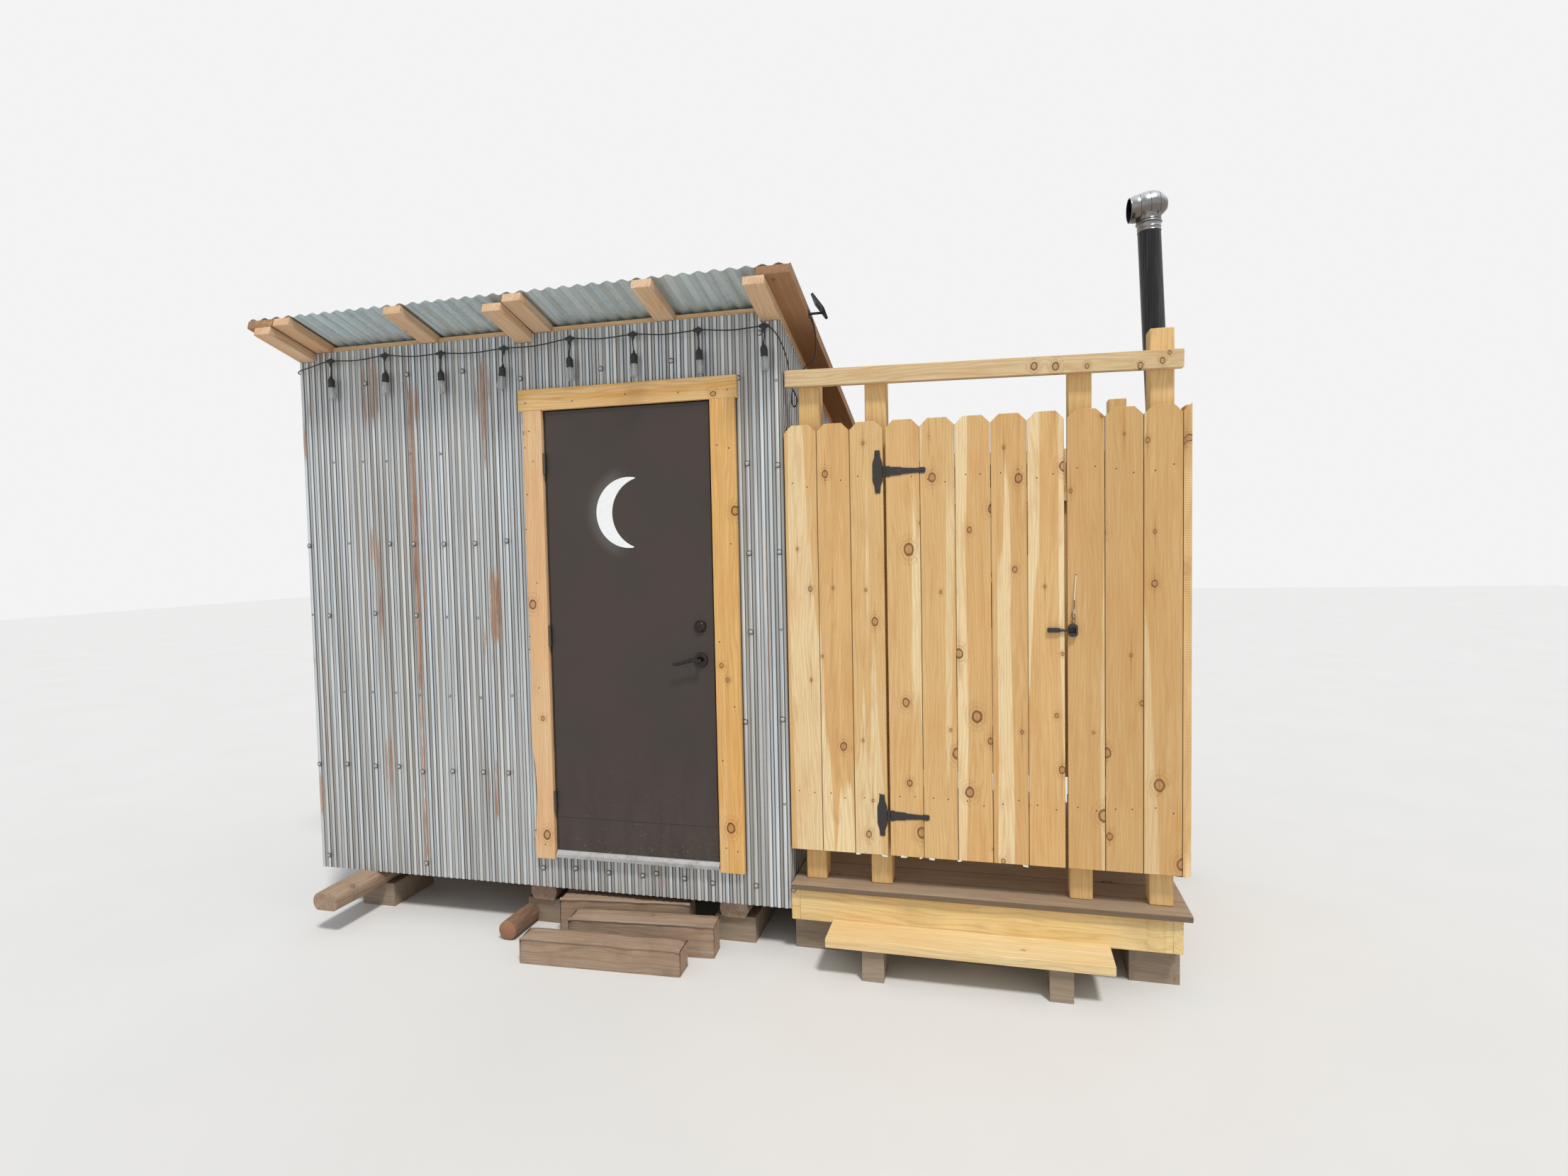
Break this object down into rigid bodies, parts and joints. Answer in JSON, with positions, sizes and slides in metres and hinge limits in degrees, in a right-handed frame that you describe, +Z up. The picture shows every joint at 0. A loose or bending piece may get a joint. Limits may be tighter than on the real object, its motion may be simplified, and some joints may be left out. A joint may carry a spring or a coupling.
{
  "type": "outhouse",
  "caption": "Corrugated metal outhouse with a moon door, beside a fenced cedar shower enclosure with a gate and deck",
  "frame": {"origin": "middle of the bounding box on the ground", "axes": "+X to the right along the front, +Y to the back, +Z up; the front faces -Y"},
  "size_m": [4.386, 2.4004, 3.5976],
  "materials": {
    "corrugated_metal": "galvanised, dull, with brown rust streaks",
    "weathered_timber": "weathered, rough",
    "framing_timber": "bare softwood",
    "plywood": "bare plywood",
    "fly_timber": "bare softwood, weathered at its ends",
    "trim_timber": "rough sawn, yellow orange",
    "jamb_timber": "painted dark brown",
    "threshold_metal": "dull, scuffed",
    "door_paint": "dark brown satin paint, chipped at the bottom",
    "moon_paint": "white, matte",
    "nickel": "brushed nickel",
    "hinge_steel": "dull steel",
    "black_iron": "black powder coat",
    "cable": "black, matte",
    "bulb_glass": "clear, slightly warm",
    "solar": "black panel with dark blue cells",
    "deck_timber": "weathered treated boards",
    "cedar": "bare cedar, tan orange with pale sapwood",
    "black_pipe": "black, satin gloss",
    "bright_steel": "bright, mirror like"
  },
  "bodies": {
    "shed": {"back_wall": "corrugated_metal", "back_wall_frame": "framing_timber", "chock": "weathered_timber", "deck_boards": "deck_timber", "deck_frame": "deck_timber", "door_frame": "jamb_timber", "door_trim_head": "trim_timber", "door_trim_left": "trim_timber", "door_trim_right": "trim_timber", "eave_strips": "framing_timber", "fence_back": "cedar", "fence_corner_strip": "cedar", "fence_left": "cedar", "fence_right": "cedar", "fence_side": "cedar", "floor": "plywood", "floor_frame": "framing_timber", "fly_boards": "fly_timber", "foundation_blocks": "weathered_timber", "front_wall_frame": "framing_timber", "front_wall_left": "corrugated_metal", "front_wall_over_door": "corrugated_metal", "front_wall_right": "corrugated_metal", "front_wall_under_door": "corrugated_metal", "gate_latch": "black_iron", "gate_plates": "black_iron", "jamb_hinges": "hinge_steel", "left_wall": "corrugated_metal", "light_bulbs": "bulb_glass", "light_cable": "cable", "light_sockets": "cable", "pipe_strap": "bright_steel", "posts": "framing_timber", "rafters": "framing_timber", "right_wall": "corrugated_metal", "roof": "corrugated_metal", "side_wall_frames": "framing_timber", "skids": "weathered_timber", "solar_panel": "solar", "step_board": "framing_timber", "step_timbers": "weathered_timber", "threshold": "threshold_metal", "top_rail": "framing_timber", "vent_collar": "bright_steel", "vent_pipe": "black_pipe"},
    "door": {"door": "door_paint", "door_hinges": "hinge_steel", "door_moon": "moon_paint", "door_lock": "nickel"},
    "lever": {"door_lever": "nickel"},
    "gate": {"gate": "cedar", "gate_straps": "black_iron"},
    "cowl": {"cowl": "bright_steel"}
  },
  "joints": [
    {"name": "door_hinge", "type": "hinge", "parent": "shed", "child": "door", "pos_m": [-0.79903, -0.89219, 1.406], "axis": [0, 0, -1], "range_deg": [0, 120]},
    {"name": "lever_turn", "type": "hinge", "parent": "door", "child": "lever", "pos_m": [-0.06603, -0.88219, 1.292], "axis": [0, -1, 0], "range_deg": [0, 45], "stiffness_Nm_per_rad": 1.2, "springref_deg": -14.32},
    {"name": "gate_hinge", "type": "hinge", "parent": "shed", "child": "gate", "pos_m": [0.75267, -0.87249, 1.3825], "axis": [0, 0, -1], "range_deg": [0, 110]},
    {"name": "cowl_turn", "type": "hinge", "parent": "shed", "child": "cowl", "pos_m": [1.98618, 0.41981, 3.43073], "axis": [-0.0436, 0, 0.999], "continuous": true}
  ]
}
